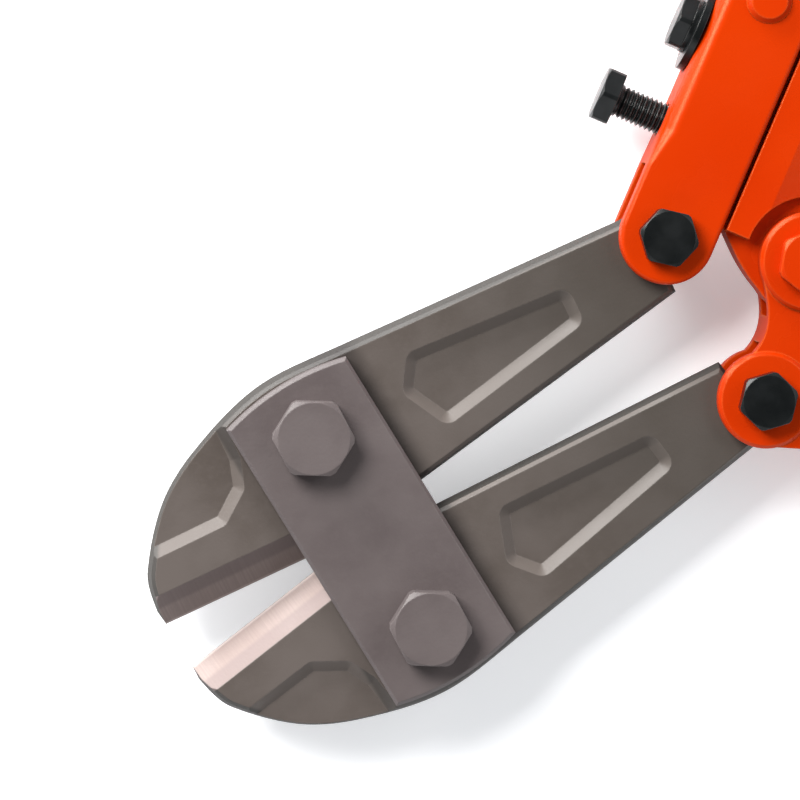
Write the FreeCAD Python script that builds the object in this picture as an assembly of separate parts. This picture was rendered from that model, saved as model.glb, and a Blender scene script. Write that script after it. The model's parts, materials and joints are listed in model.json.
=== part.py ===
"""Bolt cutters, 900 mm class, lying flat: one STEP file per physical piece.

Working frame while modelling: X runs along the tool from the blades to the handles, Y is lateral with
the upper jaw at +Y, Z is up, and the origin is midway between the two jaw bolts in the tool's middle
plane. At the end everything is moved so that the origin is the bottom centre of the whole object.

The jaws are drawn closed, with their cutting edges on the X axis, and turned open to the rest pose.
A handle's pieces are drawn in a handle frame: origin at the fulcrum, U along the handle, W outwards.
"""
import FreeCAD, Part
import math
import os

V = FreeCAD.Vector
UP = V(0, 0, 1)

# ---- driving dimensions (mm, degrees) ----
TOTAL_LENGTH = 900.0          # blade tips to grip ends, handles closed
JAW_BOLT_OFFSET = 33.5        # jaw bolt to the tool's axis
JAW_ARM = 122.0               # jaw bolt to tail bolt
LEVER = 43.5                  # fulcrum to tail bolt
TAIL_OFFSET = 28.75           # tail bolt to the tool's axis, at rest
JAW_OPEN = 6.5                # each jaw's opening at rest
HANDLE_ANGLE = 35.3           # each handle's angle to the axis, at rest
HANDLE_GAIN = 4.89            # handle turn per jaw turn, balanced over the stroke
TUBE_TOE = -1.5               # tube's angle to its casting

# ---- thicknesses and gaps ----
JAW_HALF = 7.5                # jaw thickness is twice this
EDGE_HALF = 0.4               # half thickness of the blade's land
PLATE_GAP = 0.2               # jaw face to centre plate
PLATE = 6.8                   # centre plate thickness
CHEEK_GAP = 0.3               # between parts that swing past each other
CHEEK = 6.5                   # strap and clevis cheeks
DRAFT = 1.2                   # a forged side's slope, from a face to the middle plane
JAW_CHAMFER = 1.1             # along the jaw's outline, on both faces
RELIEF = 2.8                  # depth of the recesses in the jaw's faces
REST_PLANE = -22.5            # lowest level: bolt ends and grips
EDGE_GAP = 0.15               # blade edge to the axis when closed
RUN = 0.05                    # radial clearance of a running fit


# ---- standard parts ----
JAW_BOLT = {"r": 7.0, "af": 22.0, "head": 8.8, "nut": 7.0}      # M14
TAIL_BOLT = {"r": 5.0, "af": 16.0, "head": 6.4, "nut": 6.0}     # M10
FULCRUM_BOLT = {"r": 6.0, "af": 18.0, "head": 5.5, "nut": 5.0}  # M12
ADJUST_SCREW = {"r": 5.0, "af": 16.0, "head": 5.6, "pitch": 1.5}
LOCK_BOLT = {"r": 5.0, "af": 16.0, "head": 4.6}
HEX_CORNER = 0.556            # a hexagon's corner radius, after rounding off, as a part of its width
HEX_TOP = 0.49                # the radius where its chamfer starts
BUSH_WALL = 2.5
HEAD_TURN = -3.5              # how far the centre bolts' flats are turned, degrees

# ---- strap, measured from the tail bolt along the handle ----
STRAP_HALF = 14.3             # half width, and the radius of its ends
STRAP_PIVOT = 77.0            # tail bolt to strap pivot
SCREW_AT = 32.2               # tail bolt to adjusting screw
LOCK_AT = 61.5                # tail bolt to lock bolt
WEB = 5.5                     # strap web thickness
WEB_FROM = 18.0               # the web starts this far behind the tail bolt
WEB_BEND = 4.6                # outside radius of the bend from web to cheek
RUN_OUT = 12.0                # the bend reaches that radius this far behind the web's start

# ---- castings ----
EYE_R = 17.0                  # upper casting's fulcrum eye
EYE_BORE = 10.7               # oversize: this is the open pivot of the linkage
BOSS_R = 15.0                 # lower casting's bosses
BODY_HALF = 13.5              # full thickness of a casting's body is twice this
NECK_AT = 112.0               # handle frame position where the casting ends
TUBE_W = 38.0                 # tube axis from the fulcrum line at the neck
TUBE_R = 17.0
TUBE_WALL = 2.5
SPIGOT = 62.0                 # casting's spigot inside the tube
GRIP_LENGTH = 150.0
BODY_IN = 1.5                 # body's inner side, from the fulcrum line
RIDGE_W = 17.0                # the body slopes down inside this line
BODY_W = 26.8                 # body's outer side, beside the strap
REAR_U = 82.0                 # behind the strap's end
NECK_R = 20.0
STOP_U = 40.0                 # closing stop lugs
STOP_HEIGHT = 4.4
FULCRUM_TOP = 15.3            # height of the fulcrum bosses
BUSH_R = 7.5                  # fulcrum bush
WASHER = 1.5
RIVET_R = 5.0                 # strap pivot
RIVET_HEAD_R = 7.0
TUBE_RIVET_R = 3.0
RIVETS_AT = (16.0, 44.0)      # along the spigot
SCREW_HEAD_W = 71.9           # underside of the adjusting screw's head, from the fulcrum line
LOCK_DEPTH = 17.0             # lock bolt's thread in the casting
LOCK_SLACK = 0.3              # washer to web, so that the strap can be adjusted
CLOSED_TIP = 64.0             # jaw bolts to the blade tips, closed

# ---- worked out ----
UPPER_PIN = V(0, JAW_BOLT_OFFSET, 0)
TAIL_REST = math.degrees(math.asin((TAIL_OFFSET - JAW_BOLT_OFFSET) / JAW_ARM))
TAIL_CLOSED = TAIL_REST + JAW_OPEN
LEVER_REST = math.degrees(math.asin(TAIL_OFFSET / LEVER))
UPPER_TAIL = V(JAW_ARM * math.cos(math.radians(TAIL_REST)), TAIL_OFFSET, 0)
FULCRUM = V(UPPER_TAIL.x + LEVER * math.cos(math.radians(LEVER_REST)), 0, 0)
LEVER_LOCAL = math.radians(180 - LEVER_REST - HANDLE_ANGLE)
TAIL_U = LEVER * math.cos(LEVER_LOCAL)
TAIL_W = LEVER * math.sin(LEVER_LOCAL)
GRIP_R = -REST_PLANE
PLATE_Z = JAW_HALF + PLATE_GAP
CHEEK_Z = JAW_HALF + CHEEK_GAP
CHEEK_TOP = CHEEK_Z + CHEEK
PLATE_TOP = PLATE_Z + PLATE
WEB_OUT = TAIL_W + STRAP_HALF
TONGUE_W = WEB_OUT - WEB - 1.5          # the casting's tongue stops short of the web
PIVOT_U = TAIL_U + STRAP_PIVOT
SCREW_U = TAIL_U + SCREW_AT
LOCK_U = TAIL_U + LOCK_AT
CLOSED_TURN = HANDLE_GAIN * JAW_OPEN
CLOSED_FULCRUM = (JAW_ARM * math.cos(math.radians(TAIL_CLOSED))
                  + LEVER * math.cos(math.radians(LEVER_REST + CLOSED_TURN)))
GRIP_END = TOTAL_LENGTH - CLOSED_TIP - CLOSED_FULCRUM - NECK_AT     # along the tube, from the neck


# ---- helpers ----
def at(x, y, z=0.0):
    return V(x, y, z)


def polar(length, angle):
    return V(length * math.cos(math.radians(angle)), length * math.sin(math.radians(angle)), 0)


def line(a, b):
    return Part.LineSegment(a, b).toShape()


def arc(a, via, b):
    return Part.Arc(a, via, b).toShape()


def curve(points, start=None, end=None):
    """A smooth curve through points, with optional end directions."""
    spline = Part.BSplineCurve()
    if start is None:
        spline.interpolate(points)
    else:
        spline.interpolate(points, InitialTangent=start, FinalTangent=end)
    return spline.toShape()


def loop(points):
    return Part.makePolygon(points + [points[0]])


def rounded(points, radius):
    """A polygon's wire with every corner rounded, all at the z of its points."""
    face = Part.Face(loop(points))
    return face.makeOffset2D(-radius).makeOffset2D(radius).OuterWire


def prism(wire, z0, z1):
    face = Part.Face(wire)
    face.translate(V(0, 0, z0 - face.BoundBox.ZMin))
    return face.extrude(V(0, 0, z1 - z0))


def slab(points, z0, z1):
    return prism(loop([at(*p) for p in points]), z0, z1)


def disc(x, y, r, z0, z1):
    return Part.makeCylinder(r, z1 - z0, V(x, y, z0))


def both_faces(shape):
    """The shape and its copy on the other side of the middle plane."""
    return [shape, turned_over(shape)]


def turned_over(shape):
    """The shape's mirror image in the middle plane."""
    return shape.mirror(V(0, 0, 0), UP)


def fuse(shapes):
    return shapes[0].multiFuse(shapes[1:]).removeSplitter()


def hexagon(af, height):
    """A hexagon head or nut on z = 0: its corners are rounded off, and chamfered at the outer face."""
    body = prism(loop([polar(af / math.sqrt(3), 30 + 60 * i) for i in range(6)]), 0, height)
    corner, top = HEX_CORNER * af, HEX_TOP * af
    drop = (corner - top) * math.tan(math.radians(30))
    profile = [at(0, 0, 0), at(corner, 0, 0), at(corner, 0, height - drop), at(top, 0, height),
               at(0, 0, height)]
    turned = Part.Face(loop(profile)).revolve(V(0, 0, 0), UP, 360)
    return body.common(turned)


def ring(outer, inner, z0, z1):
    return disc(0, 0, outer, z0, z1).cut(disc(0, 0, inner, z0 - 1, z1 + 1))


def placed(shape, position, angle=0.0):
    moved = shape.copy()
    moved.rotate(V(0, 0, 0), UP, angle)
    moved.translate(position)
    return moved


def flat_edges(shape, z, keep=lambda middle: True):
    """The edges that lie in the plane at height z and whose middle point passes keep."""
    found = []
    for edge in shape.Edges:
        box = edge.BoundBox
        if abs(box.ZMin - z) < 1e-4 and abs(box.ZMax - z) < 1e-4 and keep(box.Center):
            found.append(edge)
    return found


# ---- jaws ----
def inset(points, distance):
    """The corners of an anticlockwise polygon after every side moves inwards."""
    moved = []
    for before, point, after in zip(points[-1:] + points[:-1], points, points[1:] + points[:1]):
        normals = []
        for step in (point - before, after - point):
            normals.append(V(-step.y, step.x, 0) / step.Length)
        shift = (normals[0] + normals[1]) * (distance / (1 + normals[0].dot(normals[1])))
        moved.append(point + shift)
    return moved


def jaw_outline(distance, z):
    """The jaw's outline in its middle plane, moved inwards by a distance and up to z."""
    nose = [at(17.8, 54.2), at(-8.5, 53.5), at(-31.5, 45.4), at(-49.8, 33.6), at(-61.7, 18.2),
            at(-64.9, 4.5)]
    rest = [at(-63.9, EDGE_GAP - DRAFT), at(-15.2, EDGE_GAP - DRAFT), at(-6.0, 1.8), at(22.0, 6.4),
            at(118.0, 25.8), at(118.0, 52.6)]
    points = inset(nose + rest, distance)
    for point in points:
        point.z = z
    nose, rest = points[:len(nose)], points[len(nose) - 1:] + points[:1]
    sides = [line(a, b) for a, b in zip(rest, rest[1:])]
    return Part.Wire([curve(nose, nose[0] - rest[-2], V(-0.05, -1, 0))] + sides)


def closed_jaw():
    """The upper jaw, closed: forged sides that slope from the middle plane to each face."""
    layers = [jaw_outline(0, 0), jaw_outline(DRAFT, JAW_HALF - JAW_CHAMFER),
              jaw_outline(DRAFT + JAW_CHAMFER, JAW_HALF)]
    half = Part.makeLoft(layers, True, True)
    tail = UPPER_PIN + polar(JAW_ARM, TAIL_CLOSED)
    body = fuse([half, turned_over(half), disc(tail.x, tail.y, 12.0, -JAW_HALF, JAW_HALF)])
    cuts = both_faces(bevel_cut()) + both_faces(nose_relief_cut()) + both_faces(tail_recess_cut())
    cuts.append(Part.makeBox(90, 20, 40, V(-100, EDGE_GAP - 20, -20)))
    cuts.append(disc(0, JAW_BOLT_OFFSET, JAW_BOLT["r"] + BUSH_WALL, -20, 20))
    cuts.append(disc(tail.x, tail.y, TAIL_BOLT["r"] + BUSH_WALL, -20, 20))
    return body.cut(cuts)


def bevel_cut():
    """The wedge that a grinder takes off one face along the cutting edge."""
    width, back = 9.4, 30.0
    slope = (JAW_HALF - EDGE_HALF) / width
    profile = [at(-80, EDGE_GAP - back, EDGE_HALF - back * slope), at(-80, EDGE_GAP + width, JAW_HALF),
               at(-80, EDGE_GAP + width + 3, JAW_HALF + 3 * slope),
               at(-80, EDGE_GAP - back, JAW_HALF + 3 * slope)]
    return Part.Face(loop(profile)).extrude(V(64, 0, 0))


def sunk(corners, radius, depth, width):
    """A cut into the upper face with rounded corners and walls that slope in by a width."""
    top = Part.Face(rounded([at(x, y) for x, y in corners], radius))
    upper, lower = top.OuterWire, top.makeOffset2D(-width).OuterWire
    upper.translate(V(0, 0, JAW_HALF + 0.01))
    lower.translate(V(0, 0, JAW_HALF - depth))
    return Part.makeLoft([upper, lower], True, True)


def nose_relief_cut():
    """The forged step that thins the jaw's nose between its wall and the outline."""
    wall = [(-75.0, 19.6), (-35.0, 20.1), (-25.2, 27.6), (-22.4, 36.5)]
    return sunk(wall + [(-22.4, 70.0), (-75.0, 70.0)], 3.5, RELIEF, 3.3)


def tail_recess_cut():
    """The long five-sided recess in the tail, with sloped walls."""
    corners = [(36.2, 44.0), (29.8, 33.5), (38.1, 18.7), (88.8, 29.6), (88.6, 41.6)]
    return sunk(corners, 4.2, RELIEF, 3.4)


def make_jaws(parts):
    jaw = closed_jaw()
    jaw.rotate(UPPER_PIN, UP, -JAW_OPEN)
    parts["upper_jaw"] = jaw
    jaw_bush = ring(JAW_BOLT["r"] + BUSH_WALL, JAW_BOLT["r"] + RUN, -JAW_HALF, JAW_HALF)
    tail_bush = ring(TAIL_BOLT["r"] + BUSH_WALL, TAIL_BOLT["r"] + RUN, -JAW_HALF, JAW_HALF)
    parts["upper_jaw_bush"] = placed(jaw_bush, UPPER_PIN)
    parts["upper_tail_bush"] = placed(tail_bush, UPPER_TAIL)
    for piece in ("jaw", "jaw_bush", "tail_bush"):
        parts["lower_" + piece] = across(parts["upper_" + piece])


def across(shape):
    """The same piece turned over about the tool's axis."""
    copy = shape.copy()
    copy.rotate(V(0, 0, 0), V(1, 0, 0), 180)
    return copy


# ---- centre plates ----
def make_centre_plates(parts):
    half, corner, crown = 21.0, 48.7, 51.6
    edges = [arc(at(half, corner), at(0, crown), at(-half, corner)),
             line(at(-half, corner), at(-half, -corner)),
             arc(at(-half, -corner), at(0, -crown), at(half, -corner)),
             line(at(half, -corner), at(half, corner))]
    plate = prism(Part.Wire(edges), PLATE_Z, PLATE_TOP)
    plate = plate.makeChamfer(1.0, flat_edges(plate, PLATE_TOP))
    for side in (1, -1):
        plate = plate.cut(disc(0, side * JAW_BOLT_OFFSET, JAW_BOLT["r"] + 0.1, 0, 30))
    parts["front_centre_plate"] = plate
    parts["rear_centre_plate"] = across(plate)
    bolts, nuts = [], []
    for side in (1, -1):
        place = V(0, side * JAW_BOLT_OFFSET, 0)
        shank = disc(0, 0, JAW_BOLT["r"], REST_PLANE, PLATE_TOP + 1)
        shank = shank.makeChamfer(0.8, flat_edges(shank, REST_PLANE))
        head = placed(hexagon(JAW_BOLT["af"], JAW_BOLT["head"]), V(0, 0, PLATE_TOP), HEAD_TURN)
        bolts.append(placed(shank.fuse(head), place))
        nut = hexagon(JAW_BOLT["af"], JAW_BOLT["nut"]).cut(disc(0, 0, JAW_BOLT["r"], -1, 20))
        nuts.append(placed(across(nut), place + V(0, 0, -PLATE_TOP), 12.0 * side))
    parts["jaw_bolts"] = Part.makeCompound(bolts)
    parts["jaw_bolt_nuts"] = Part.makeCompound(nuts)


# ---- pieces of both handles, drawn in the handle frame ----
def along_w(shape, u, w):
    """Turn a shape drawn along Z so that it runs outwards along W, from the point u, w."""
    turned = shape.copy()
    turned.rotate(V(0, 0, 0), V(1, 0, 0), -90)
    turned.translate(V(u, w, 0))
    return turned


def along_tube(shape, distance=0.0):
    """Turn a shape drawn along Z so that it runs along the tube, from the neck."""
    turned = shape.copy()
    turned.rotate(V(0, 0, 0), V(0, 1, 0), 90)
    turned.translate(V(distance, 0, 0))
    turned.rotate(V(0, 0, 0), UP, TUBE_TOE)
    turned.translate(V(NECK_AT, TUBE_W, 0))
    return turned


def cross_bolt(size, top, bottom, turn=0.0):
    """A hexagon bolt along Z whose head sits on z = top and whose end is at z = bottom."""
    shank = disc(0, 0, size["r"], bottom, top + 1)
    shank = shank.makeChamfer(0.8, flat_edges(shank, bottom))
    return shank.fuse(placed(hexagon(size["af"], size["head"]), V(0, 0, top), turn))


def cross_nut(size, top, turn=0.0):
    """A hexagon nut hanging below z = top."""
    nut = hexagon(size["af"], size["nut"]).cut(disc(0, 0, size["r"], -1, 20))
    return placed(across(nut), V(0, 0, top), turn)


def stadium(u0, u1, w, half, z0, z1):
    edges = [line(at(u0, w + half), at(u1, w + half)),
             arc(at(u1, w + half), at(u1 + half, w), at(u1, w - half)),
             line(at(u1, w - half), at(u0, w - half)),
             arc(at(u0, w - half), at(u0 - half, w), at(u0, w + half))]
    return prism(Part.Wire(edges), z0, z1)


def adjusting_strap():
    """Two cheeks joined by a web on the outer side, open towards the casting."""
    cheek = stadium(TAIL_U, PIVOT_U, TAIL_W, STRAP_HALF, CHEEK_Z, CHEEK_TOP)
    web = slab([(TAIL_U + WEB_FROM, WEB_OUT - WEB), (PIVOT_U, WEB_OUT - WEB), (PIVOT_U, WEB_OUT),
                (TAIL_U + WEB_FROM, WEB_OUT)], -CHEEK_TOP, CHEEK_TOP)
    strap = fuse([cheek, turned_over(cheek), web])
    rim = flat_edges(strap, CHEEK_TOP) + flat_edges(strap, -CHEEK_TOP)
    strap = strap.makeFillet(1.4, rim)
    strap = strap.cut(both_faces(web_bend_cut()))
    holes = [disc(TAIL_U, TAIL_W, TAIL_BOLT["r"] + 0.1, -20, 20), disc(PIVOT_U, TAIL_W, RIVET_R, -20, 20),
             along_w(Part.makeCylinder(ADJUST_SCREW["r"] + 0.25, 20), SCREW_U, WEB_OUT - 10),
             along_w(Part.makeCylinder(LOCK_BOLT["r"] + 1.0, 20), LOCK_U, WEB_OUT - 10)]
    return strap.cut(holes)


def web_bend_cut():
    """What the bend takes off the corner between web and cheek, with a run-out where the web starts."""
    full_from = WEB_FROM + RUN_OUT
    run_out = Part.makeLoft([bend_section(WEB_FROM - 3, 0.6), bend_section(full_from, WEB_BEND)], True, True)
    straight = Part.Face(bend_section(full_from, WEB_BEND)).extrude(V(STRAP_PIVOT - full_from, 0, 0))
    around = Part.Face(bend_section(STRAP_PIVOT, WEB_BEND)).revolve(V(STRAP_PIVOT, 0, 0), UP, -90)
    bend = fuse([run_out, straight, around])
    bend.translate(V(TAIL_U, TAIL_W, 0))
    return bend


def bend_section(u, radius):
    """The corner that a bend of this radius takes off, as a wire across the strap."""
    inner, low, side = STRAP_HALF - radius, CHEEK_TOP - radius, radius * math.sqrt(0.5)
    bend = arc(at(u, inner, CHEEK_TOP), at(u, inner + side, low + side), at(u, STRAP_HALF, low))
    rest = [at(u, STRAP_HALF, low), at(u, STRAP_HALF + 1, low), at(u, STRAP_HALF + 1, CHEEK_TOP + 1),
            at(u, inner, CHEEK_TOP + 1), at(u, inner, CHEEK_TOP)]
    return Part.Wire([bend] + [line(a, b) for a, b in zip(rest, rest[1:])])


def tube_spigot():
    """The casting's round neck and the spigot that the tube slides over."""
    cone = Part.makeCone(14.0, NECK_R, 16.0)
    collar = Part.makeCylinder(NECK_R, 14.0)
    spigot = Part.makeCylinder(TUBE_R - TUBE_WALL, SPIGOT + 1)
    pieces = [along_tube(cone, -29.5), along_tube(collar, -14.0), along_tube(spigot, -1.0)]
    holes = [placed_rivet_bore(x) for x in RIVETS_AT]
    return pieces, holes


def placed_rivet_bore(distance):
    return along_tube(across_tube(Part.makeCylinder(TUBE_RIVET_R, 60, V(0, 0, -30))), distance)


def across_tube(shape):
    """Keep a shape's own Z axis upright after along_tube turns it."""
    turned = shape.copy()
    turned.rotate(V(0, 0, 0), V(0, 1, 0), -90)
    return turned


def upper_casting():
    """Thin eye and tongue, with a thick sloped body between the strap and the fulcrum line."""
    eye = disc(0, 0, EYE_R, -JAW_HALF, JAW_HALF)
    front = [at(-14.2, 9.0), at(-11.8, 13.6), at(-7.8, 19.4), at(-3.8, 24.0), at(-1.2, BODY_W)]
    back = [front[-1], at(4.5, TONGUE_W), at(PIVOT_U + 12, TONGUE_W), at(PIVOT_U + 12, 8), at(20, BODY_IN),
            at(0, BODY_IN), front[0]]
    edges = [curve(front)] + [line(a, b) for a, b in zip(back, back[1:])]
    tongue = prism(Part.Wire(edges), -JAW_HALF, JAW_HALF)
    tongue = tongue.cut(disc(TAIL_U, TAIL_W, 14.2, -20, 20))
    profile = [at(0, BODY_W, -BODY_HALF), at(0, BODY_W, BODY_HALF), at(0, RIDGE_W, BODY_HALF),
               at(0, BODY_IN, 8.6),
               at(0, BODY_IN, -8.6), at(0, RIDGE_W, -BODY_HALF)]
    body = Part.Face(loop(profile)).extrude(V(NECK_AT - 12, 0, 0))
    body.translate(V(-1.0, 0, 0))
    rear = slab([(REAR_U, BODY_W - 8), (REAR_U, WEB_OUT - 3), (REAR_U + 8, WEB_OUT - 1),
                 (NECK_AT - 8, WEB_OUT - 1),
                 (NECK_AT - 8, BODY_W - 8)], -BODY_HALF, BODY_HALF)
    inner_taper = slab([(45, -5), (NECK_AT, -5), (NECK_AT, 19), (NECK_AT - 12, 18)], -40, 40)
    body = body.cut(disc(0, 0, EYE_R + 2.5, -30, 30)).fuse(rear).cut(inner_taper)
    neck, holes = tube_spigot()
    casting = fuse([eye, tongue, body, stop_lug()] + neck)
    holes += [disc(0, 0, EYE_BORE, -20, 20), disc(PIVOT_U, TAIL_W, RIVET_R + RUN, -20, 20),
              along_w(Part.makeCylinder(LOCK_BOLT["r"] + RUN, 40), LOCK_U, TONGUE_W - LOCK_DEPTH - 1)]
    return casting.cut(holes)


def stop_lug():
    """The lug on each casting's inner side that limits how far the handles close."""
    tip = BODY_IN - STOP_HEIGHT
    foot = BODY_IN + 8
    return slab([(STOP_U, tip), (STOP_U + 14, tip), (STOP_U + 18, foot), (STOP_U - 4, foot)], -6.5, 6.5)


def lower_casting():
    """Two cheeks that fork over the upper casting's eye and over the jaw's tail, joined by a bridge."""
    web_z = CHEEK_TOP - 1.3
    neck_line = [at(-14.4, 4.0), at(-11.6, 13.6), at(-11.4, 20.5), at(-13.0, 25.5), at(-17.6, 31.2),
                 at(-22.6, 34.6)]
    outline = [neck_line[-1], at(TAIL_U, TAIL_W), at(TAIL_U, WEB_OUT - 0.3), at(NECK_AT - 20, WEB_OUT - 0.3),
               at(NECK_AT - 8, WEB_OUT - 1), at(NECK_AT - 8, 19), at(NECK_AT - 12, 18), at(45, BODY_IN),
               at(6, BODY_IN), at(0, 0), neck_line[0]]
    edges = [curve(neck_line)] + [line(a, b) for a, b in zip(outline, outline[1:])]
    web = prism(Part.Wire(edges), -web_z, web_z)
    pocket = Part.Face(rounded([at(30, 13), at(52, 13), at(86, 29), at(86, 47), at(30, 47)], 5.0))
    pocket.translate(V(0, 0, web_z - 4.5))
    pocket = pocket.extrude(V(0, 0, 10))
    bosses = []
    for z0, z1 in ((CHEEK_Z, FULCRUM_TOP), (-FULCRUM_TOP, -CHEEK_Z)):
        boss = disc(0, 0, BOSS_R, z0, z1)
        bosses.append(boss.makeChamfer(1.0, flat_edges(boss, math.copysign(FULCRUM_TOP, z0))))
    for z0, z1 in ((CHEEK_Z, CHEEK_TOP), (-CHEEK_TOP, -CHEEK_Z)):
        boss = disc(TAIL_U, TAIL_W, BOSS_R - 0.4, z0, z1)
        bosses.append(boss.makeChamfer(1.0, flat_edges(boss, math.copysign(CHEEK_TOP, z0))))
    neck, holes = tube_spigot()
    casting = fuse([web.cut(both_faces(pocket)), stop_lug()] + bosses + neck)
    holes += [disc(0, 0, EYE_R + 3.6, -CHEEK_Z, CHEEK_Z), disc(TAIL_U, TAIL_W, 17.2, -CHEEK_Z, CHEEK_Z),
              disc(0, 0, FULCRUM_BOLT["r"] + RUN, -30, 30),
              disc(TAIL_U, TAIL_W, TAIL_BOLT["r"] + 0.1, -30, 30)]
    return casting.cut(holes)


def grip():
    """A ribbed rubber sleeve with a closed end, drawn along Z from its mouth."""
    plain, rib, pitch = GRIP_R - 1.5, GRIP_R, 9.0
    profile = [at(TUBE_R, 0, 0), at(rib, 0, 0), at(rib, 0, 7), at(plain, 0, 10)]
    for i in range(13):
        z = 16 + i * pitch
        profile += [at(plain, 0, z), at(rib, 0, z + 1.5), at(rib, 0, z + 4.5), at(plain, 0, z + 6)]
    profile += [at(plain, 0, GRIP_LENGTH - 12), at(rib, 0, GRIP_LENGTH - 8), at(rib, 0, GRIP_LENGTH - 3),
                at(rib - 3, 0, GRIP_LENGTH), at(0, 0, GRIP_LENGTH), at(0, 0, GRIP_LENGTH - 4),
                at(TUBE_R, 0, GRIP_LENGTH - 4)]
    return Part.Face(loop(profile)).revolve(V(0, 0, 0), UP, 360)


def handle_pieces():
    """Tube, rivets, grip and plug: the same on both handles."""
    tube_end = GRIP_END - 4
    tube = along_tube(ring(TUBE_R, TUBE_R - TUBE_WALL, 0, tube_end))
    tube = tube.cut([placed_rivet_bore(x) for x in RIVETS_AT])
    plug = fuse([Part.makeCylinder(TUBE_R - TUBE_WALL, 16, V(0, 0, tube_end - 18)),
                 Part.makeCylinder(TUBE_R - TUBE_WALL - 2, 2, V(0, 0, tube_end - 2))])
    sleeve = along_tube(grip(), GRIP_END - GRIP_LENGTH)
    rivets = [along_tube(across_tube(tube_rivet()), x) for x in RIVETS_AT]
    return {"tube": tube, "tube_rivets": Part.makeCompound(rivets), "grip": sleeve,
            "tube_plug": along_tube(plug)}


def tube_rivet():
    """A rivet through tube and spigot with a low head on each side."""
    head = fuse([Part.makeCone(5.0, 3.6, 1.4, V(0, 0, TUBE_R)),
                 Part.makeCylinder(5.0, 1.2, V(0, 0, TUBE_R - 1.2))])
    head = head.cut(Part.makeCylinder(TUBE_R, 20, V(-10, 0, 0), V(1, 0, 0)))
    heads = [head, turned_over(head)]
    shank = disc(0, 0, TUBE_RIVET_R, -TUBE_R, TUBE_R)
    return fuse([shank] + heads)


def strap_rivet():
    """The strap's pivot: a rivet with a low round head on each cheek."""
    head = Part.makeCone(RIVET_HEAD_R, RIVET_HEAD_R - 1.6, 2.2, V(0, 0, CHEEK_TOP))
    return fuse([disc(0, 0, RIVET_R, -CHEEK_TOP, CHEEK_TOP), head, turned_over(head)])


def adjusting_screw():
    """Hexagon head, threaded shank and a plain tip that bears on the casting, drawn along Z."""
    reach = SCREW_HEAD_W - TONGUE_W
    thread_from, thread_to = 4.0, reach - 1.5
    r, pitch = ADJUST_SCREW["r"], ADJUST_SCREW["pitch"]
    root = r - 0.55 * pitch
    profile = [at(0, 0, 0.02), at(root - 0.4, 0, 0.02), at(root, 0, 0.5), at(root, 0, thread_from)]
    for i in range(int((thread_to - thread_from) / pitch)):
        z = thread_from + i * pitch
        profile += [at(root, 0, z + 0.1), at(r, 0, z + 0.45 * pitch), at(r, 0, z + 0.6 * pitch)]
    profile += [at(root, 0, thread_to), at(r, 0, thread_to + 0.4), at(r, 0, reach), at(0, 0, reach)]
    shank = Part.Face(loop(profile)).revolve(V(0, 0, 0), UP, 360)
    head = placed(hexagon(ADJUST_SCREW["af"], ADJUST_SCREW["head"]), V(0, 0, reach))
    return fuse([shank, head])


def lock_stack():
    """Washer, spring washer and bolt on the strap's web, drawn along Z from the casting's tongue."""
    seat = WEB_OUT - TONGUE_W + LOCK_SLACK
    spring_seat = seat + 2.2
    head_seat = spring_seat + 1.4
    washer = ring(13.5, 5.4, seat, spring_seat)
    gap = Part.makeBox(8, 0.8, 4, V(4, -0.4, spring_seat - 0.5))
    spring = ring(8.6, 5.2, spring_seat, head_seat).cut(gap)
    shank = disc(0, 0, LOCK_BOLT["r"], -LOCK_DEPTH, head_seat + 1)
    shank = shank.makeChamfer(0.9, flat_edges(shank, -LOCK_DEPTH))
    head = placed(hexagon(LOCK_BOLT["af"], LOCK_BOLT["head"]), V(0, 0, head_seat), 3)
    return {"lock_washer": washer, "lock_spring_washer": spring, "lock_bolt": shank.fuse(head)}


def make_handles(parts):
    """Both handles in the handle frame, then placed about the fulcrum; the lower one is mirrored."""
    upper = {"adjusting_strap": adjusting_strap(), "upper_handle_casting": upper_casting(),
             "strap_pivot_rivet": placed(strap_rivet(), V(PIVOT_U, TAIL_W, 0)),
             "adjusting_screw": along_w(adjusting_screw(), SCREW_U, TONGUE_W)}
    for name, shape in lock_stack().items():
        upper[name] = along_w(shape, LOCK_U, TONGUE_W)
    fulcrum_low = -FULCRUM_TOP - WASHER - FULCRUM_BOLT["nut"]
    washer = ring(11.0, FULCRUM_BOLT["r"] + 0.2, -FULCRUM_TOP - WASHER, -FULCRUM_TOP)
    lower = {"lower_handle_casting": lower_casting(),
             "fulcrum_bolt": cross_bolt(FULCRUM_BOLT, FULCRUM_TOP, fulcrum_low - 0.5, 5),
             "fulcrum_bush": ring(BUSH_R, FULCRUM_BOLT["r"], -CHEEK_Z, CHEEK_Z),
             "fulcrum_washer": washer,
             "fulcrum_nut": cross_nut(FULCRUM_BOLT, -FULCRUM_TOP - WASHER, 17)}
    tail_end = -CHEEK_TOP - TAIL_BOLT["nut"] - 1.0
    tail_bolt = placed(cross_bolt(TAIL_BOLT, CHEEK_TOP, tail_end, 10), V(TAIL_U, TAIL_W, 0))
    tail_nut = placed(cross_nut(TAIL_BOLT, -CHEEK_TOP, 22), V(TAIL_U, TAIL_W, 0))
    for side, pieces in (("upper", upper), ("lower", lower)):
        pieces[side + "_tail_bolt"] = tail_bolt
        pieces[side + "_tail_nut"] = tail_nut
        for name, shape in handle_pieces().items():
            pieces[side + "_" + name] = shape
        for name, shape in pieces.items():
            turned = placed(shape, V(0, 0, 0), HANDLE_ANGLE)
            if side == "lower":
                turned = turned.mirror(V(0, 0, 0), V(0, 1, 0))
            turned.translate(FULCRUM)
            parts[name] = turned


def build():
    parts = {}
    make_jaws(parts)
    make_centre_plates(parts)
    make_handles(parts)
    return parts


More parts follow.
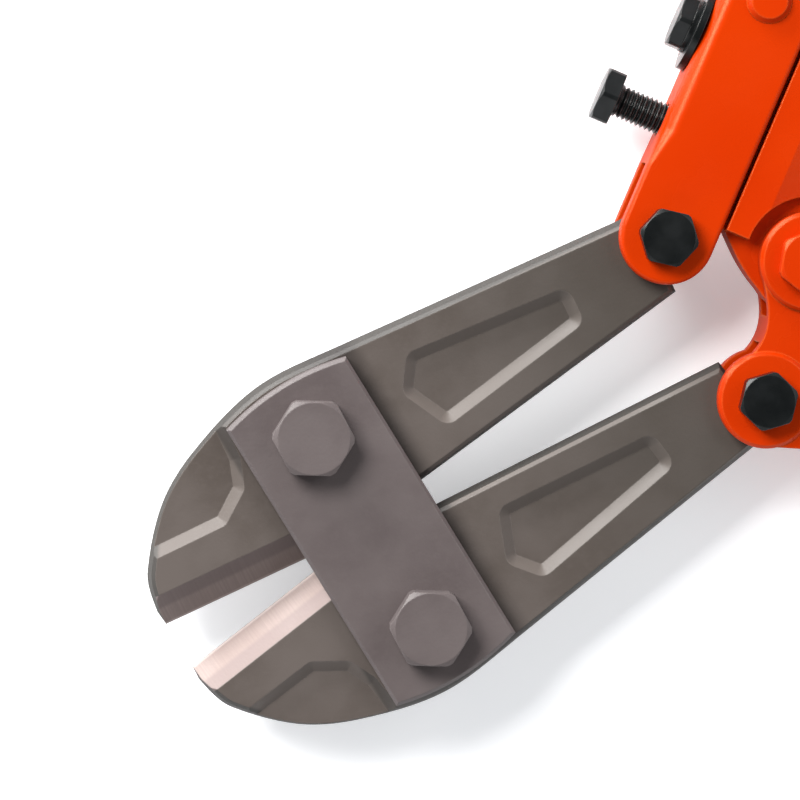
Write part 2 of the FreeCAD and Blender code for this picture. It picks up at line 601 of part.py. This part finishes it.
def row_origin(parts):
    """The bottom centre of the whole object, in the working frame."""
    box = Part.makeCompound(list(parts.values())).optimalBoundingBox(False, False)
    return V((box.XMin + box.XMax) / 2, (box.YMin + box.YMax) / 2, box.ZMin)


def main():
    os.makedirs("parts", exist_ok=True)
    parts = build()
    origin = row_origin(parts)
    for name, shape in sorted(parts.items()):
        shape.translate(origin * -1)
        shape.exportStep("parts/" + name + ".step")
        print(name, "solids", len(shape.Solids), "valid", shape.isValid(), "volume", round(shape.Volume))


if __name__ == "__main__":
    main()
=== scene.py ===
"""Looks for the bolt cutters: materials, floor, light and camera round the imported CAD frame."""
import json
import math

import bpy
from mathutils import Matrix, Vector


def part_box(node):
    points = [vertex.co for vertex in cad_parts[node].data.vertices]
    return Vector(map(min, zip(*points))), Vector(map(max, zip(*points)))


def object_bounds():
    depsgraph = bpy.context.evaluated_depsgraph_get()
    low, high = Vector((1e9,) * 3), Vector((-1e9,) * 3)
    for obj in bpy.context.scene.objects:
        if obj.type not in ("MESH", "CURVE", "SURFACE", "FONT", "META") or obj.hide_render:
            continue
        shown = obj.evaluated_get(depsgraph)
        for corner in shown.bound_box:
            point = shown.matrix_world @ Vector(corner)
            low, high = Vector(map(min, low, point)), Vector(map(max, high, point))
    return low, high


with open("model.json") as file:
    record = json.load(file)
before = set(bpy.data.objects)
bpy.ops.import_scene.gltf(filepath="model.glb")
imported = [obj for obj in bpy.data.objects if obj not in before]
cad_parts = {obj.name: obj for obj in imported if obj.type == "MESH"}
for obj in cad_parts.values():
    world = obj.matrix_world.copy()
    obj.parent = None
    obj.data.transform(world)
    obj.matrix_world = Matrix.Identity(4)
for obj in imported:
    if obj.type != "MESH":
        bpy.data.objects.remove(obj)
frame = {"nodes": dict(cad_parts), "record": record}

CAD_BOX = [list(corner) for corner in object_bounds()]
NODES = frame["nodes"]
MM = 0.001                    # metres

# The tool's own origin, midway between its two centre bolts in the middle plane, in the row frame.
BOLTS_LOW, BOLTS_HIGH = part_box("jaw_bolts")
ORIGIN = Vector(((BOLTS_LOW.x + BOLTS_HIGH.x) / 2, 0.0,
                 (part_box("front_centre_plate")[1].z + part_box("rear_centre_plate")[0].z) / 2))
JAW_BOLT_OFFSET = 33.5        # mm from the tool's axis
JAW_OPEN = 6.5                # degrees, at rest


def tool(x, y, z=0.0):
    """A point given in mm from the tool's origin, in the row frame."""
    return ORIGIN + Vector((x, y, z)) * MM


# ---- node helpers ----
class Graph:
    """A material's node tree with short ways to add and link nodes."""

    def __init__(self, name):
        self.material = bpy.data.materials.new(name)
        self.material.use_nodes = True
        self.tree = self.material.node_tree
        self.tree.nodes.clear()
        self.shader = self.add("ShaderNodeBsdfPrincipled")
        output = self.add("ShaderNodeOutputMaterial")
        self.link(self.shader.outputs[0], output.inputs[0])
        self.place = self.add("ShaderNodeTexCoord").outputs["Object"]

    def add(self, kind, **settings):
        node = self.tree.nodes.new(kind)
        for key, value in settings.items():
            setattr(node, key, value)
        return node

    def link(self, source, target):
        self.tree.links.new(source, target)

    def give(self, node, index, value):
        if hasattr(value, "is_output"):
            self.link(value, node.inputs[index])
        else:
            node.inputs[index].default_value = value

    def math(self, operation, a, b=0.0, c=0.0, clamp=False):
        node = self.add("ShaderNodeMath", operation=operation, use_clamp=clamp)
        for i, value in enumerate((a, b, c)):
            self.give(node, i, value)
        return node.outputs[0]

    def vector(self, operation, a, b=(0, 0, 0), out=0):
        node = self.add("ShaderNodeVectorMath", operation=operation)
        self.give(node, 0, a)
        self.give(node, 1, b)
        return node.outputs[out]

    def between(self, value, low, high, to_low=0.0, to_high=1.0, smooth=True):
        """A value mapped from low..high to to_low..to_high, held at both ends."""
        node = self.add("ShaderNodeMapRange", interpolation_type="SMOOTHSTEP" if smooth else "LINEAR")
        for i, v in enumerate((value, low, high, to_low, to_high)):
            self.give(node, i, v)
        return node.outputs[0]

    def mix(self, amount, a, b):
        """A colour mixed from a to b."""
        node = self.add("ShaderNodeMix", data_type="RGBA")
        self.give(node, 0, amount)
        self.give(node, 6, a)
        self.give(node, 7, b)
        return node.outputs[2]

    def blend(self, amount, a, b):
        """A number mixed from a to b."""
        node = self.add("ShaderNodeMix", data_type="FLOAT")
        self.give(node, 0, amount)
        self.give(node, 2, a)
        self.give(node, 3, b)
        return node.outputs[0]

    def noise(self, scale, detail=3.0, roughness=0.5, place=None, stretch=None):
        """Noise with features about 1000 / scale mm wide."""
        source = place or self.place
        if stretch:
            source = self.vector("MULTIPLY", source, stretch)
        node = self.add("ShaderNodeTexNoise")
        self.link(source, node.inputs["Vector"])
        node.inputs["Scale"].default_value = scale
        node.inputs["Detail"].default_value = detail
        node.inputs["Roughness"].default_value = roughness
        return node.outputs[0]

    def pits(self, scale, low, high):
        """Small round pits: 1 at their middles, 0 between them."""
        node = self.add("ShaderNodeTexVoronoi")
        self.link(self.place, node.inputs["Vector"])
        node.inputs["Scale"].default_value = scale
        return self.between(node.outputs["Distance"], low, high, 1.0, 0.0)

    def pointing(self):
        """The surface's direction in the object's own frame, as flat faces have it."""
        return self.add("ShaderNodeTexCoord").outputs["Normal"]

    def upright(self):
        """How nearly a surface faces straight up or down: 1 on flat faces, 0 on the tool's sides."""
        return self.math("ABSOLUTE", self.vector("DOT_PRODUCT", self.pointing(), (0, 0, 1), out=1))

    def edges(self, size, low=0.03, high=0.3):
        """1 on edges that stick out, 0 elsewhere: how far a rounded normal turns from the true one."""
        bevel = self.add("ShaderNodeBevel", samples=4)
        bevel.inputs[0].default_value = size
        true = self.add("ShaderNodeNewGeometry").outputs["Normal"]
        turn = self.math("SUBTRACT", 1.0, self.vector("DOT_PRODUCT", bevel.outputs[0], true, out=1))
        return self.between(turn, low, high)

    def bump(self, height, distance, strength=1.0, rounded=None):
        node = self.add("ShaderNodeBump")
        node.inputs["Strength"].default_value = strength
        node.inputs["Distance"].default_value = distance
        self.link(height, node.inputs["Height"])
        if rounded:
            bevel = self.add("ShaderNodeBevel", samples=4)
            bevel.inputs[0].default_value = rounded
            self.link(bevel.outputs[0], node.inputs["Normal"])
        self.link(node.outputs[0], self.shader.inputs["Normal"])

    def set(self, **values):
        for name, value in values.items():
            self.give(self.shader, name.replace("_", " "), value)


def coated_steel(name, base, lighter, edge, rough=0.46):
    """Dark coated steel: soft mottling, fine grain and paler edges where the coating has worn."""
    g = Graph(name)
    broad = g.noise(28.0, 3.0, 0.55)
    fine = g.noise(420.0, 2.0, 0.6)
    colour = g.mix(g.between(broad, 0.35, 0.7), base, lighter)
    colour = g.mix(g.math("MULTIPLY", g.between(fine, 0.4, 0.75), 0.35), colour, lighter)
    worn = g.math("MULTIPLY", g.edges(0.0008), g.between(g.noise(160.0, 3.0), 0.3, 0.6, 0.35, 1.0))
    colour = g.mix(worn, colour, edge)
    rough = g.blend(g.between(broad, 0.3, 0.7), rough - 0.05, rough + 0.07)
    g.set(Base_Color=colour, Metallic=0.0, Roughness=g.blend(g.between(g.upright(), 0.5, 0.25), rough, 0.8))
    g.set(IOR=1.5, Specular_IOR_Level=0.5)
    height = g.math("ADD", g.math("MULTIPLY", fine, 0.4), g.noise(900.0, 2.0))
    g.bump(height, 0.00006, 0.6, rounded=0.0005)
    return g


# ---- jaws: coated forging with a ground cutting bevel ----
EDGE_FROM = 15.6              # mm along the cutting edge from the jaw's pivot to the start of the bevel
BEVEL_WIDTH = 9.6             # mm across the bevel
FACET_FROM = 5.5              # mm from the cutting edge, where the painted shade of the bevel's outer facet begins
NOSE_LENGTH, NOSE_WIDTH = 66.0, 54.0  # mm, half axes of the ellipse that follows the nose's outline
PLATE_HALF = 21.0             # mm, half width of the centre plates
PLATE_SHADOW_TO = 27.5              # mm from the plates' long axis, where the painted shadow beside them has faded out
TAIL_FROM, TAIL_TO = -12.0, -105.0    # mm behind the jaw's pivot, where the tail's colour comes in

JAW_DARK, JAW_PALE, JAW_WORN = (0.068, 0.054, 0.046, 1), (0.090, 0.073, 0.065, 1), (0.17, 0.15, 0.135, 1)
TAIL_COLOUR = (0.047, 0.039, 0.032, 1)
# Painted shade on the jaws' sloped outline sides.
OUTLINE_SHADE_COLOUR = (0.036, 0.032, 0.028, 1)
# Painted light on recess walls away from the plates, painted shade on walls beside them.
WALL_LIT, WALL_SHADED = (0.17, 0.145, 0.13, 1), (0.03, 0.026, 0.023, 1)
# Colour of the painted shadow beside the plates.
PLATE_SHADOW_COLOUR = (0.011, 0.007, 0.006, 1)
GROUND_DARK, GROUND_PALE = (0.200, 0.158, 0.147, 1), (0.235, 0.188, 0.175, 1)
# Stains on the ground bevel, then the painted shade of its outer facet.
GROUND_STAIN, GROUND_FACET_SHADE = (0.16, 0.115, 0.104, 1), (0.13, 0.102, 0.1, 1)
# Colour of the painted highlight along the cutting edge.
EDGE_HIGHLIGHT = (0.42, 0.37, 0.35, 1)


def jaw_material(side):
    """side is 1 for the upper jaw and -1 for the lower one."""
    g = coated_steel("jaw_steel_" + ("upper" if side > 0 else "lower"), JAW_DARK, JAW_PALE, JAW_WORN)
    colour = g.shader.inputs["Base Color"].links[0].from_socket
    rough = g.shader.inputs["Roughness"].links[0].from_socket

    # s runs from the jaw's pivot towards its tip, and t from the cutting edge outwards, both in mm.
    turn = math.radians(JAW_OPEN)
    along = Vector((-math.cos(turn), side * math.sin(turn), 0))
    across = Vector((math.sin(turn), side * math.cos(turn), 0))
    pivot = tool(0, side * JAW_BOLT_OFFSET)
    from_pivot = g.vector("SUBTRACT", g.place, tuple(pivot))
    s = g.math("MULTIPLY", g.vector("DOT_PRODUCT", from_pivot, tuple(along), out=1), 1 / MM)
    t = g.math("MULTIPLY", g.vector("DOT_PRODUCT", from_pivot, tuple(across), out=1), 1 / MM)
    t = g.math("ADD", t, JAW_BOLT_OFFSET)
    facing = g.upright()
    colour = g.mix(g.between(s, TAIL_FROM, TAIL_TO, 0.0, 0.8), colour, TAIL_COLOUR)

    # Sloped faces: painted shade round the outline, painted light on the recess walls and painted shade on
    # the walls beside the plate.
    sloped = g.between(facing, 0.93, 0.86)
    forward = g.math("POWER", g.math("DIVIDE", g.math("MAXIMUM", s, 0.0), NOSE_LENGTH), 2.0)
    outward = g.math("ADD", forward, g.math("POWER", g.math("DIVIDE", t, NOSE_WIDTH), 2.0))
    at_outline = g.math("MAXIMUM", g.between(outward, 0.87, 0.92), g.between(facing, 0.5, 0.35))
    # Painted shade on the sloped sides at the outline.
    outline_shade = g.math("MULTIPLY", sloped, at_outline)
    colour = g.mix(outline_shade, colour, OUTLINE_SHADE_COLOUR)
    inner = g.math("MULTIPLY", sloped, g.math("SUBTRACT", 1.0, outline_shade))
    from_plate = g.vector("DOT_PRODUCT", g.vector("SUBTRACT", g.place, tuple(ORIGIN)), (1 / MM, 0, 0), out=1)
    from_plate = g.math("ABSOLUTE", from_plate)         # mm from the centre plates' long axis
    # Painted light on the walls away from the plates, painted shade on those beside them.
    far_from_plate = g.between(from_plate, PLATE_HALF + 2.5, PLATE_HALF + 4.5)
    wall_light_and_shade = g.mix(far_from_plate, WALL_SHADED, WALL_LIT)
    colour = g.mix(g.math("MULTIPLY", inner, g.blend(far_from_plate, 0.6, 0.3)), colour, wall_light_and_shade)
    # Painted shadow of the plates: darkest on the tail's side, faint on the nose's side.
    most = g.between(g.noise(60.0), 0.3, 0.7, 0.45, 0.75)
    plate_shadow = g.between(from_plate, PLATE_SHADOW_TO, PLATE_HALF, 0.0, most)
    plate_shadow = g.math("MULTIPLY", plate_shadow, g.between(s, 0.0, -15.0, 0.12, 1.0))
    colour = g.mix(plate_shadow, colour, PLATE_SHADOW_COLOUR)

    # The ground bevel, with the grinder's lines across it.
    ground = g.between(t, BEVEL_WIDTH, BEVEL_WIDTH - 0.25)
    ground = g.math("MULTIPLY", ground, g.between(s, EDGE_FROM - 0.4, EDGE_FROM))
    ground = g.math("MULTIPLY", ground, g.between(facing, 0.93, 0.9))
    flat_bevel = g.between(facing, 0.6, 0.7)
    ground = g.math("MULTIPLY", ground, g.math("MAXIMUM", flat_bevel, g.between(t, 1.2, 0.8)))
    lines = g.add("ShaderNodeCombineXYZ")
    g.link(g.math("MULTIPLY", s, 1.6), lines.inputs[0])
    g.link(g.math("MULTIPLY", t, 0.05), lines.inputs[1])
    scratches = g.noise(1.0, 4.0, 0.65, place=lines.outputs[0])
    steel = g.mix(g.between(scratches, 0.3, 0.7), GROUND_DARK, GROUND_PALE)
    steel = g.mix(g.between(g.noise(45.0, 2.0), 0.45, 0.65, 0.0, 0.35), steel, GROUND_STAIN)
    # Painted shade on the bevel's outer facet.
    steel = g.mix(g.between(t, FACET_FROM - 0.7, FACET_FROM + 0.7, 0.0, 0.6), steel, GROUND_FACET_SHADE)
    # Painted highlight along the cutting edge.
    steel = g.mix(g.between(t, 0.9, 0.4, 0.0, 0.6), steel, EDGE_HIGHLIGHT)
    g.set(Base_Color=g.mix(ground, colour, steel), Metallic=g.math("MULTIPLY", ground, 0.5))
    g.set(Roughness=g.blend(ground, rough, g.between(scratches, 0.3, 0.7, 0.42, 0.48)))
    return g.material


PAINT_DEEP, PAINT_FULL = (0.455, 0.0232, 0.0002, 1), (0.49, 0.0288, 0.0003, 1)
# Colour of the painted highlight on sharp edges.
PAINT_EDGE_HIGHLIGHT = (0.80, 0.16, 0.03, 1)
PAINT_CHIP = (0.2, 0.17, 0.15, 1)
PAINT_SHEEN = (1.0, 0.65, 0.35, 1)


def orange_paint(name, sides):
    """Glossy orange enamel with a little orange peel and a painted highlight on sharp edges; sides is the
    sides' roughness.
    """
    g = Graph(name)
    broad = g.noise(18.0, 2.0)
    colour = g.mix(g.between(broad, 0.3, 0.7), PAINT_DEEP, PAINT_FULL)
    # Painted highlight on sharp edges.
    colour = g.mix(g.math("MULTIPLY", g.edges(0.0012, 0.02, 0.35), 0.55), colour, PAINT_EDGE_HIGHLIGHT)
    chip = g.math("MULTIPLY", g.edges(0.0005, 0.2, 0.5), g.between(g.noise(230.0, 4.0, 0.7), 0.63, 0.67))
    colour = g.mix(chip, colour, PAINT_CHIP)
    rough = g.between(g.noise(60.0), 0.3, 0.7, 0.23, 0.3)
    g.set(Base_Color=colour, Roughness=g.blend(g.between(g.upright(), 0.5, 0.2), rough, sides))
    g.set(IOR=1.45, Specular_IOR_Level=0.35, Specular_Tint=PAINT_SHEEN)
    g.bump(g.noise(330.0, 2.0, 0.4), 0.00008, 0.35, rounded=0.0007)
    return g.material


def black_steel():
    """Black oxide on machined steel: nearly black and semi-gloss, with corners painted paler, as rubbed wear
    and as a painted glint.
    """
    g = Graph("black_steel")
    deep, pale, rubbed_glint = (0.004, 0.0052, 0.0055, 1), (0.009, 0.0105, 0.011, 1), (0.16, 0.155, 0.15, 1)
    colour = g.mix(g.between(g.noise(140.0), 0.35, 0.7), deep, pale)
    # Paler corners: rubbed wear and a painted glint.
    colour = g.mix(g.math("MULTIPLY", g.edges(0.0005), 0.45), colour, rubbed_glint)
    rough = g.between(g.noise(90.0), 0.3, 0.7, 0.24, 0.34)
    g.set(Base_Color=colour, Metallic=0.35, Roughness=rough, IOR=1.5)
    g.bump(g.noise(800.0, 2.0), 0.00004, 0.5, rounded=0.0004)
    return g.material


def bright_steel():
    """Bare zinc-plated steel with fine drawn lines."""
    g = Graph("bright_steel")
    lines = g.noise(500.0, 3.0, 0.6, stretch=(1.0, 0.15, 1.0))
    colour = g.mix(g.between(lines, 0.3, 0.7), (0.42, 0.41, 0.40, 1), (0.62, 0.61, 0.59, 1))
    g.set(Base_Color=colour, Metallic=1.0, Roughness=g.between(lines, 0.3, 0.7, 0.26, 0.4))
    g.bump(lines, 0.00003, 0.4, rounded=0.0003)
    return g.material


def bronze():
    """Sintered bronze: grainy, with small pores."""
    g = Graph("bronze")
    grain = g.noise(900.0, 3.0, 0.6)
    colour = g.mix(g.between(grain, 0.35, 0.65), (0.30, 0.18, 0.075, 1), (0.52, 0.33, 0.15, 1))
    g.set(Base_Color=colour, Metallic=0.9, Roughness=g.between(grain, 0.3, 0.7, 0.38, 0.55))
    g.bump(g.math("SUBTRACT", 1.0, g.pits(1400.0, 0.1, 0.4)), 0.00004, 0.6, rounded=0.0003)
    return g.material


def grip_rubber():
    """Matt black rubber with a fine moulded grain and slightly polished ribs."""
    g = Graph("grip_rubber")
    cloud = g.noise(35.0, 3.0)
    polished = g.edges(0.0016, 0.05, 0.4)
    colour = g.mix(g.between(cloud, 0.35, 0.7), (0.012, 0.012, 0.0125, 1), (0.021, 0.0205, 0.02, 1))
    colour = g.mix(g.math("MULTIPLY", polished, 0.4), colour, (0.04, 0.04, 0.041, 1))
    g.set(Base_Color=colour, Roughness=g.blend(polished, g.between(cloud, 0.3, 0.7, 0.62, 0.74), 0.5))
    g.set(IOR=1.5, Sheen_Weight=0.06, Sheen_Roughness=0.4)
    g.bump(g.math("ADD", g.noise(1500.0, 2.0), g.pits(900.0, 0.0, 0.5)), 0.00008, 0.6, rounded=0.0006)
    return g.material


def plug_plastic():
    """Matt dark grey moulded plastic."""
    g = Graph("plug_plastic")
    g.set(Base_Color=g.mix(g.noise(200.0), (0.03, 0.03, 0.03, 1), (0.05, 0.05, 0.05, 1)), Roughness=0.55)
    g.bump(g.noise(1200.0, 2.0), 0.00005, 0.5)
    return g.material


PLATE_DARK, PLATE_PALE = (0.084, 0.067, 0.067, 1), (0.103, 0.084, 0.083, 1)
PLATE_WORN = (0.17, 0.145, 0.14, 1)
plates = coated_steel("plate_steel", PLATE_DARK, PLATE_PALE, PLATE_WORN, 0.44)
LOOKS = {"plate_steel": plates.material, "orange_paint": orange_paint("orange_paint", 0.6),
         "orange_tube": orange_paint("orange_tube", 0.28), "black_steel": black_steel(),
         "bright_steel": bright_steel(), "bronze": bronze(), "grip_rubber": grip_rubber(),
         "plug_plastic": plug_plastic()}
for row in frame["record"]["subparts"]:
    node, slot_name = row["node"], row["material_slot"]
    if slot_name == "jaw_steel":
        look = jaw_material(1 if node.startswith("upper") else -1)
    else:
        look = LOOKS["orange_tube" if node.endswith("tube") else slot_name]
    mesh_object = NODES[node]
    if not mesh_object.material_slots:
        mesh_object.data.materials.append(look)
    for slot in mesh_object.material_slots:
        slot.material = look


# ---- floor, light and camera ----
FLOOR_GLOW = 0.33
FLOOR_HALF = 6.0              # metres, half the floor's side
FLOOR_DROP = 0.0002           # metres below the tool


def floor_material():
    """White translucent table, lit from below, so that gaps and soft shadows stay pale."""
    g = Graph("floor")
    g.set(Base_Color=g.mix(g.noise(2.0), (0.9, 0.91, 0.93, 1), (0.92, 0.93, 0.95, 1)), Roughness=0.8)
    g.set(Specular_IOR_Level=0.0, Emission_Color=(0.97, 0.985, 1.0, 1), Emission_Strength=FLOOR_GLOW)
    return g.material


floor_mesh = bpy.data.meshes.new("floor")
floor_corners = [(x * FLOOR_HALF, y * FLOOR_HALF, 0) for x, y in ((-1, -1), (1, -1), (1, 1), (-1, 1))]
floor_mesh.from_pydata(floor_corners, [], [(0, 1, 2, 3)])
floor = bpy.data.objects.new("floor", floor_mesh)
floor.location.z = CAD_BOX[0][2] - FLOOR_DROP
floor_mesh.materials.append(floor_material())
bpy.context.scene.collection.objects.link(floor)

# The camera looks nearly straight down the tool's thickness, a little from the upper jaw's side.
TILT, LEAN, ROLL = math.radians(4.12), math.radians(98.5), math.radians(31.56)
back = Vector((math.sin(TILT) * math.cos(LEAN), math.sin(TILT) * math.sin(LEAN), math.cos(TILT)))
north = (Vector((0, 1, 0)) - back * back.y).normalized()
east = north.cross(back)
right = east * math.cos(ROLL) - north * math.sin(ROLL)
above = east * math.sin(ROLL) + north * math.cos(ROLL)
VIEW_WIDTH = 0.24187          # metres across the frame at the tool's middle plane
LENS, SENSOR = 250.0, 36.0
AIM_RIGHT, AIM_ABOVE = 0.00922, 0.03879   # metres from the tool's origin to the frame's centre
target = ORIGIN + right * AIM_RIGHT + above * AIM_ABOVE
camera_data = bpy.data.cameras.new("camera")
camera_data.lens, camera_data.sensor_width = LENS, SENSOR
camera = bpy.data.objects.new("camera", camera_data)
distance = VIEW_WIDTH * LENS / SENSOR
basis = Matrix((right, above, back)).transposed().to_4x4()
camera.matrix_world = Matrix.Translation(target + back * distance) @ basis
camera_data.clip_start, camera_data.clip_end = 0.05, 50.0
bpy.context.scene.collection.objects.link(camera)
bpy.context.scene.camera = camera


WARM = (1.0, 0.985, 0.965)    # colour of the two main lights


def softbox(name, towards, span, power, size, colour=(1, 1, 1)):
    """An area light that stands off in a direction given in the camera's right, above and back terms."""
    direction = (right * towards[0] + above * towards[1] + back * towards[2]).normalized()
    data = bpy.data.lights.new(name, "AREA")
    data.shape, data.size, data.size_y = "RECTANGLE", size[0], size[1]
    data.energy, data.color = power, colour
    lamp = bpy.data.objects.new(name, data)
    lamp.location = target + direction * span
    lamp.rotation_mode = "QUATERNION"
    lamp.rotation_quaternion = direction.to_track_quat("Z", "Y")
    bpy.context.scene.collection.objects.link(lamp)


softbox("key", (-0.55, 0.6, 1.0), 2.0, 58.0, (0.95, 0.95), WARM)
softbox("strip", (-0.6, 0.9, 0.32), 1.9, 40.0, (1.5, 0.5), WARM)
softbox("fill", (0.95, 0.25, 0.9), 2.2, 13.0, (1.6, 1.2))
softbox("low", (-0.1, -0.95, 0.8), 2.2, 6.0, (1.6, 1.0))


HORIZON_DIM, HORIZON_BRIGHT = 0.5, 0.95   # strength at the horizon, away from and towards the lit side
OVERHEAD = 0.12                           # strength overhead
LOW_SKY, HIGH_SKY = 0.35, 0.85            # sine of the heights between which it fades
SKY_COLOUR = (0.94, 0.965, 1.0, 1)


def studio_world():
    """A white studio, dimmer overhead, so that flat painted faces keep their colour, and on one side."""
    world = bpy.data.worlds.new("studio")
    world.use_nodes = True
    tree = world.node_tree
    sky = tree.nodes.new("ShaderNodeSeparateXYZ")
    direction = tree.nodes.new("ShaderNodeTexCoord").outputs["Generated"]
    tree.links.new(direction, sky.inputs[0])
    lit_side = tree.nodes.new("ShaderNodeVectorMath")
    lit_side.operation = "DOT_PRODUCT"
    lit_side.inputs[1].default_value = (above - right * 0.7).normalized()
    tree.links.new(direction, lit_side.inputs[0])
    horizon = tree.nodes.new("ShaderNodeMapRange")
    for i, value in ((1, -1.0), (2, 1.0), (3, HORIZON_DIM), (4, HORIZON_BRIGHT)):
        horizon.inputs[i].default_value = value
    tree.links.new(lit_side.outputs["Value"], horizon.inputs[0])
    height = tree.nodes.new("ShaderNodeMapRange")
    height.interpolation_type = "SMOOTHSTEP"
    for i, value in ((1, LOW_SKY), (2, HIGH_SKY), (4, OVERHEAD)):
        height.inputs[i].default_value = value
    tree.links.new(horizon.outputs[0], height.inputs[3])
    tree.links.new(sky.outputs[2], height.inputs[0])
    background = tree.nodes["Background"]
    background.inputs[0].default_value = SKY_COLOUR
    tree.links.new(height.outputs[0], background.inputs[1])
    return world


bpy.context.scene.world = studio_world()
bpy.context.scene.view_settings.view_transform = "Standard"
bpy.context.scene.view_settings.exposure = 0.0
